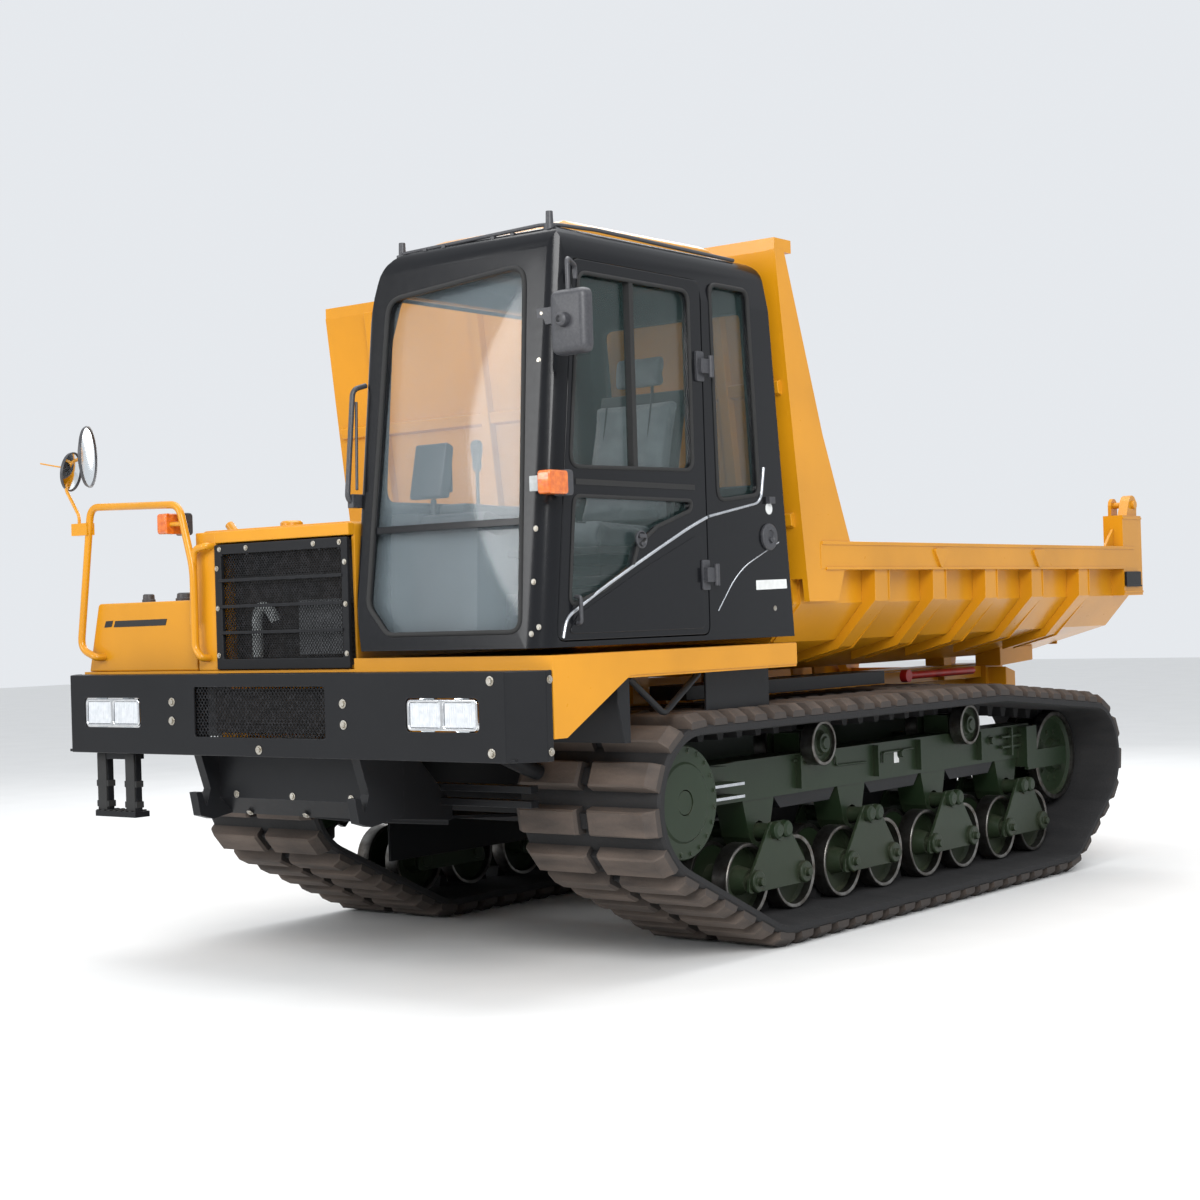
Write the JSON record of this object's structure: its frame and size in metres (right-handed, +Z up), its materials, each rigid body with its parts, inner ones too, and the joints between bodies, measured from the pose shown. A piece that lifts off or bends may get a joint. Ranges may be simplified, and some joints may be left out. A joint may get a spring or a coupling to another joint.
{
  "type": "rubber tracked dump carrier",
  "caption": "Crawler dump carrier: rubber belts on bogie rollers, offset glazed cab beside an engine hood, front bumper with lamps, and a rear-tipping trough body with tailgate.",
  "frame": {"origin": "on the ground under the middle of the machine's overall box", "axes": "+Z up, -Y forward, +X to the machine's left, the cab's side"},
  "size_m": [3.2, 5.551, 3.085],
  "materials": {
    "yellow_paint": "gloss",
    "black_paint": "gloss",
    "undercarriage_paint": "satin",
    "track_rubber": "matte",
    "mirror_housing": "satin",
    "lamp_lens": "gloss",
    "cab_glass": "polished",
    "seat_fabric": "woven",
    "cab_plastic": "moulded",
    "chrome_rod": "polished"
  },
  "bodies": {
    "root": {"undercarriage_frame": "undercarriage_paint", "main_frame": "yellow_paint", "rubber_track_left": "track_rubber", "rubber_track_right": "track_rubber", "front_bumper": "black_paint", "headlamp_left": "lamp_lens", "headlamp_right": "lamp_lens", "belly_guard": "black_paint", "boarding_step": "black_paint", "engine_hood": "yellow_paint", "radiator_grille": "black_paint", "fluid_tank": "yellow_paint", "handrail": "yellow_paint", "cab_frame": "black_paint", "cab_roof": "black_paint", "windshield": "cab_glass", "side_glass": "cab_glass", "control_console": "cab_plastic"},
    "sprocket_left": {"sprocket_left": "undercarriage_paint"},
    "idler_left": {"idler_left": "undercarriage_paint"},
    "carrier_roller_left_1": {"carrier_roller_left_1": "undercarriage_paint"},
    "carrier_roller_left_2": {"carrier_roller_left_2": "undercarriage_paint"},
    "bogie_left_1": {"bogie_left_1": "undercarriage_paint"},
    "road_roller_left_1a": {"road_roller_left_1a": "undercarriage_paint"},
    "road_roller_left_1b": {"road_roller_left_1b": "undercarriage_paint"},
    "bogie_left_2": {"bogie_left_2": "undercarriage_paint"},
    "road_roller_left_2a": {"road_roller_left_2a": "undercarriage_paint"},
    "road_roller_left_2b": {"road_roller_left_2b": "undercarriage_paint"},
    "bogie_left_3": {"bogie_left_3": "undercarriage_paint"},
    "road_roller_left_3a": {"road_roller_left_3a": "undercarriage_paint"},
    "road_roller_left_3b": {"road_roller_left_3b": "undercarriage_paint"},
    "bogie_left_4": {"bogie_left_4": "undercarriage_paint"},
    "road_roller_left_4a": {"road_roller_left_4a": "undercarriage_paint"},
    "road_roller_left_4b": {"road_roller_left_4b": "undercarriage_paint"},
    "sprocket_right": {"sprocket_right": "undercarriage_paint"},
    "idler_right": {"idler_right": "undercarriage_paint"},
    "carrier_roller_right_1": {"carrier_roller_right_1": "undercarriage_paint"},
    "carrier_roller_right_2": {"carrier_roller_right_2": "undercarriage_paint"},
    "bogie_right_1": {"bogie_right_1": "undercarriage_paint"},
    "road_roller_right_1a": {"road_roller_right_1a": "undercarriage_paint"},
    "road_roller_right_1b": {"road_roller_right_1b": "undercarriage_paint"},
    "bogie_right_2": {"bogie_right_2": "undercarriage_paint"},
    "road_roller_right_2a": {"road_roller_right_2a": "undercarriage_paint"},
    "road_roller_right_2b": {"road_roller_right_2b": "undercarriage_paint"},
    "bogie_right_3": {"bogie_right_3": "undercarriage_paint"},
    "road_roller_right_3a": {"road_roller_right_3a": "undercarriage_paint"},
    "road_roller_right_3b": {"road_roller_right_3b": "undercarriage_paint"},
    "bogie_right_4": {"bogie_right_4": "undercarriage_paint"},
    "road_roller_right_4a": {"road_roller_right_4a": "undercarriage_paint"},
    "road_roller_right_4b": {"road_roller_right_4b": "undercarriage_paint"},
    "cab_door": {"cab_door": "black_paint", "door_glass": "cab_glass"},
    "seat": {"seat": "seat_fabric"},
    "travel_lever": {"travel_lever": "cab_plastic"},
    "cab_mirror": {"cab_mirror": "mirror_housing"},
    "round_mirror": {"round_mirror": "mirror_housing"},
    "dump_body": {"dump_body": "yellow_paint"},
    "tailgate": {"tailgate": "yellow_paint"},
    "hoist_barrel": {"hoist_barrel": "black_paint"},
    "hoist_rod": {"hoist_rod": "chrome_rod"}
  },
  "joints": [
    {"name": "left_drive", "type": "hinge", "parent": "root", "child": "sprocket_left", "pos_m": [0.985, -1.6235, 0.68], "axis": [1, 0, 0], "continuous": true},
    {"name": "idler_left_spin", "type": "hinge", "parent": "root", "child": "idler_left", "pos_m": [0.985, 2.1565, 0.605], "axis": [1, 0, 0], "continuous": true},
    {"name": "carrier_roller_left_1_spin", "type": "hinge", "parent": "root", "child": "carrier_roller_left_1", "pos_m": [0.985, -0.3665, 0.843], "axis": [1, 0, 0], "continuous": true},
    {"name": "carrier_roller_left_2_spin", "type": "hinge", "parent": "root", "child": "carrier_roller_left_2", "pos_m": [0.985, 1.0635, 0.843], "axis": [1, 0, 0], "continuous": true},
    {"name": "bogie_left_1_rock", "type": "hinge", "parent": "root", "child": "bogie_left_1", "pos_m": [0.985, -0.7995, 0.473], "axis": [1, 0, 0], "range_deg": [-3, 3], "deforming": ["rubber_track_left"]},
    {"name": "road_roller_left_1a_spin", "type": "hinge", "parent": "bogie_left_1", "child": "road_roller_left_1a", "pos_m": [0.985, -0.9935, 0.275], "axis": [1, 0, 0], "continuous": true},
    {"name": "road_roller_left_1b_spin", "type": "hinge", "parent": "bogie_left_1", "child": "road_roller_left_1b", "pos_m": [0.985, -0.6055, 0.275], "axis": [1, 0, 0], "continuous": true},
    {"name": "bogie_left_2_rock", "type": "hinge", "parent": "root", "child": "bogie_left_2", "pos_m": [0.985, 0.0065, 0.473], "axis": [1, 0, 0], "range_deg": [-3, 3], "deforming": ["rubber_track_left"]},
    {"name": "road_roller_left_2a_spin", "type": "hinge", "parent": "bogie_left_2", "child": "road_roller_left_2a", "pos_m": [0.985, -0.1875, 0.275], "axis": [1, 0, 0], "continuous": true},
    {"name": "road_roller_left_2b_spin", "type": "hinge", "parent": "bogie_left_2", "child": "road_roller_left_2b", "pos_m": [0.985, 0.2005, 0.275], "axis": [1, 0, 0], "continuous": true},
    {"name": "bogie_left_3_rock", "type": "hinge", "parent": "root", "child": "bogie_left_3", "pos_m": [0.985, 0.8125, 0.473], "axis": [1, 0, 0], "range_deg": [-3, 3], "deforming": ["rubber_track_left"]},
    {"name": "road_roller_left_3a_spin", "type": "hinge", "parent": "bogie_left_3", "child": "road_roller_left_3a", "pos_m": [0.985, 0.6185, 0.275], "axis": [1, 0, 0], "continuous": true},
    {"name": "road_roller_left_3b_spin", "type": "hinge", "parent": "bogie_left_3", "child": "road_roller_left_3b", "pos_m": [0.985, 1.0065, 0.275], "axis": [1, 0, 0], "continuous": true},
    {"name": "bogie_left_4_rock", "type": "hinge", "parent": "root", "child": "bogie_left_4", "pos_m": [0.985, 1.6185, 0.473], "axis": [1, 0, 0], "range_deg": [-3, 3], "deforming": ["rubber_track_left"]},
    {"name": "road_roller_left_4a_spin", "type": "hinge", "parent": "bogie_left_4", "child": "road_roller_left_4a", "pos_m": [0.985, 1.4245, 0.275], "axis": [1, 0, 0], "continuous": true},
    {"name": "road_roller_left_4b_spin", "type": "hinge", "parent": "bogie_left_4", "child": "road_roller_left_4b", "pos_m": [0.985, 1.8125, 0.275], "axis": [1, 0, 0], "continuous": true},
    {"name": "right_drive", "type": "hinge", "parent": "root", "child": "sprocket_right", "pos_m": [-0.985, -1.6235, 0.68], "axis": [1, 0, 0], "continuous": true},
    {"name": "idler_right_spin", "type": "hinge", "parent": "root", "child": "idler_right", "pos_m": [-0.985, 2.1565, 0.605], "axis": [1, 0, 0], "continuous": true},
    {"name": "carrier_roller_right_1_spin", "type": "hinge", "parent": "root", "child": "carrier_roller_right_1", "pos_m": [-0.985, -0.3665, 0.843], "axis": [1, 0, 0], "continuous": true},
    {"name": "carrier_roller_right_2_spin", "type": "hinge", "parent": "root", "child": "carrier_roller_right_2", "pos_m": [-0.985, 1.0635, 0.843], "axis": [1, 0, 0], "continuous": true},
    {"name": "bogie_right_1_rock", "type": "hinge", "parent": "root", "child": "bogie_right_1", "pos_m": [-0.985, -0.7995, 0.473], "axis": [1, 0, 0], "range_deg": [-3, 3], "deforming": ["rubber_track_right"]},
    {"name": "road_roller_right_1a_spin", "type": "hinge", "parent": "bogie_right_1", "child": "road_roller_right_1a", "pos_m": [-0.985, -0.9935, 0.275], "axis": [1, 0, 0], "continuous": true},
    {"name": "road_roller_right_1b_spin", "type": "hinge", "parent": "bogie_right_1", "child": "road_roller_right_1b", "pos_m": [-0.985, -0.6055, 0.275], "axis": [1, 0, 0], "continuous": true},
    {"name": "bogie_right_2_rock", "type": "hinge", "parent": "root", "child": "bogie_right_2", "pos_m": [-0.985, 0.0065, 0.473], "axis": [1, 0, 0], "range_deg": [-3, 3], "deforming": ["rubber_track_right"]},
    {"name": "road_roller_right_2a_spin", "type": "hinge", "parent": "bogie_right_2", "child": "road_roller_right_2a", "pos_m": [-0.985, -0.1875, 0.275], "axis": [1, 0, 0], "continuous": true},
    {"name": "road_roller_right_2b_spin", "type": "hinge", "parent": "bogie_right_2", "child": "road_roller_right_2b", "pos_m": [-0.985, 0.2005, 0.275], "axis": [1, 0, 0], "continuous": true},
    {"name": "bogie_right_3_rock", "type": "hinge", "parent": "root", "child": "bogie_right_3", "pos_m": [-0.985, 0.8125, 0.473], "axis": [1, 0, 0], "range_deg": [-3, 3], "deforming": ["rubber_track_right"]},
    {"name": "road_roller_right_3a_spin", "type": "hinge", "parent": "bogie_right_3", "child": "road_roller_right_3a", "pos_m": [-0.985, 0.6185, 0.275], "axis": [1, 0, 0], "continuous": true},
    {"name": "road_roller_right_3b_spin", "type": "hinge", "parent": "bogie_right_3", "child": "road_roller_right_3b", "pos_m": [-0.985, 1.0065, 0.275], "axis": [1, 0, 0], "continuous": true},
    {"name": "bogie_right_4_rock", "type": "hinge", "parent": "root", "child": "bogie_right_4", "pos_m": [-0.985, 1.6185, 0.473], "axis": [1, 0, 0], "range_deg": [-3, 3], "deforming": ["rubber_track_right"]},
    {"name": "road_roller_right_4a_spin", "type": "hinge", "parent": "bogie_right_4", "child": "road_roller_right_4a", "pos_m": [-0.985, 1.4245, 0.275], "axis": [1, 0, 0], "continuous": true},
    {"name": "road_roller_right_4b_spin", "type": "hinge", "parent": "bogie_right_4", "child": "road_roller_right_4b", "pos_m": [-0.985, 1.8125, 0.275], "axis": [1, 0, 0], "continuous": true},
    {"name": "cab_door_swing", "type": "hinge", "parent": "root", "child": "cab_door", "pos_m": [1.391, -1.5505, 1.351], "axis": [0, 0, 1], "range_deg": [0, 165]},
    {"name": "seat_slide", "type": "slide", "parent": "root", "child": "seat", "axis": [0, 1, 0], "range_m": [-0.08, 0.06]},
    {"name": "travel_lever_tilt", "type": "hinge", "parent": "root", "child": "travel_lever", "pos_m": [0.485, -1.9955, 1.865], "axis": [1, 0, 0], "range_deg": [-18, 18], "stiffness_Nm_per_rad": 20},
    {"name": "cab_mirror_fold", "type": "hinge", "parent": "root", "child": "cab_mirror", "pos_m": [1.4, -2.4455, 2.745], "axis": [0, 0, 1], "range_deg": [-25, 40]},
    {"name": "round_mirror_turn", "type": "hinge", "parent": "root", "child": "round_mirror", "pos_m": [-1.318, -2.6635, 1.95], "axis": [0, 0, 1], "range_deg": [-25, 25]},
    {"name": "dump_tip", "type": "hinge", "parent": "root", "child": "dump_body", "pos_m": [0, 2.3245, 1.07], "axis": [-1, 0, 0], "range_deg": [0, 60]},
    {"name": "tailgate_swing", "type": "hinge", "parent": "dump_body", "child": "tailgate", "pos_m": [0, 2.7205, 2.01], "axis": [1, 0, 0], "range_deg": [0, 70]},
    {"name": "hoist_tilt", "type": "hinge", "parent": "root", "child": "hoist_barrel", "pos_m": [0, -0.1755, 0.72], "axis": [1, 0, 0], "range_deg": [-0.05, 19.14]},
    {"name": "hoist_extend", "type": "slide", "parent": "hoist_barrel", "child": "hoist_rod", "axis": [0, 0.9773, 0.2118], "range_m": [-0.001, 0.78187]}
  ],
  "couplings": [
    {"joint": "idler_left_spin", "follows": "left_drive", "ratio": 1.0757},
    {"joint": "carrier_roller_left_1_spin", "follows": "left_drive", "ratio": 2.5234},
    {"joint": "carrier_roller_left_2_spin", "follows": "left_drive", "ratio": 2.5234},
    {"joint": "road_roller_left_1a_spin", "follows": "left_drive", "ratio": 1.5882},
    {"joint": "road_roller_left_1b_spin", "follows": "left_drive", "ratio": 1.5882},
    {"joint": "road_roller_left_2a_spin", "follows": "left_drive", "ratio": 1.5882},
    {"joint": "road_roller_left_2b_spin", "follows": "left_drive", "ratio": 1.5882},
    {"joint": "road_roller_left_3a_spin", "follows": "left_drive", "ratio": 1.5882},
    {"joint": "road_roller_left_3b_spin", "follows": "left_drive", "ratio": 1.5882},
    {"joint": "road_roller_left_4a_spin", "follows": "left_drive", "ratio": 1.5882},
    {"joint": "road_roller_left_4b_spin", "follows": "left_drive", "ratio": 1.5882},
    {"joint": "idler_right_spin", "follows": "right_drive", "ratio": 1.0757},
    {"joint": "carrier_roller_right_1_spin", "follows": "right_drive", "ratio": 2.5234},
    {"joint": "carrier_roller_right_2_spin", "follows": "right_drive", "ratio": 2.5234},
    {"joint": "road_roller_right_1a_spin", "follows": "right_drive", "ratio": 1.5882},
    {"joint": "road_roller_right_1b_spin", "follows": "right_drive", "ratio": 1.5882},
    {"joint": "road_roller_right_2a_spin", "follows": "right_drive", "ratio": 1.5882},
    {"joint": "road_roller_right_2b_spin", "follows": "right_drive", "ratio": 1.5882},
    {"joint": "road_roller_right_3a_spin", "follows": "right_drive", "ratio": 1.5882},
    {"joint": "road_roller_right_3b_spin", "follows": "right_drive", "ratio": 1.5882},
    {"joint": "road_roller_right_4a_spin", "follows": "right_drive", "ratio": 1.5882},
    {"joint": "road_roller_right_4b_spin", "follows": "right_drive", "ratio": 1.5882},
    {"joint": "hoist_tilt", "follows": "dump_tip", "ratio": 0.31815},
    {"joint": "hoist_extend", "follows": "dump_tip", "m_per_rad": 0.74567}
  ]
}
